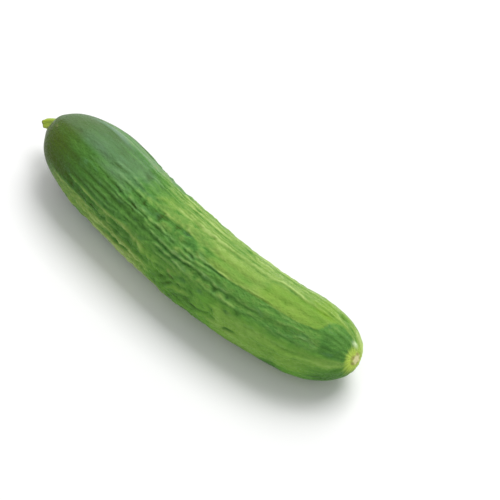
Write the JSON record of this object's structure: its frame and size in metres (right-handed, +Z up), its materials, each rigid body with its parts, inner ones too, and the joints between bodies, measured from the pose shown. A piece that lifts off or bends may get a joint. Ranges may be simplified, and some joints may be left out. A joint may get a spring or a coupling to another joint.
{
  "type": "cucumber",
  "caption": "Short thin-skinned cucumber lying on its side, gently bent, with long low ribs, a blossom scar and the cut stub of its stalk.",
  "frame": {"origin": "on the surface that the cucumber rests on, under the middle of its box", "axes": "+Z up, +X from the stalk end to the blossom end, bending towards +Y"},
  "size_m": [0.1714, 0.0404, 0.0344],
  "materials": {
    "skin": "thin waxy green skin, satin, streaked lengthwise, paler at the blossom end",
    "stalk": "yellow-green cut stalk, fibrous, dry at the cut"
  },
  "bodies": {
    "root": {"fruit": "skin", "stem_stub": "stalk"}
  },
  "joints": []
}
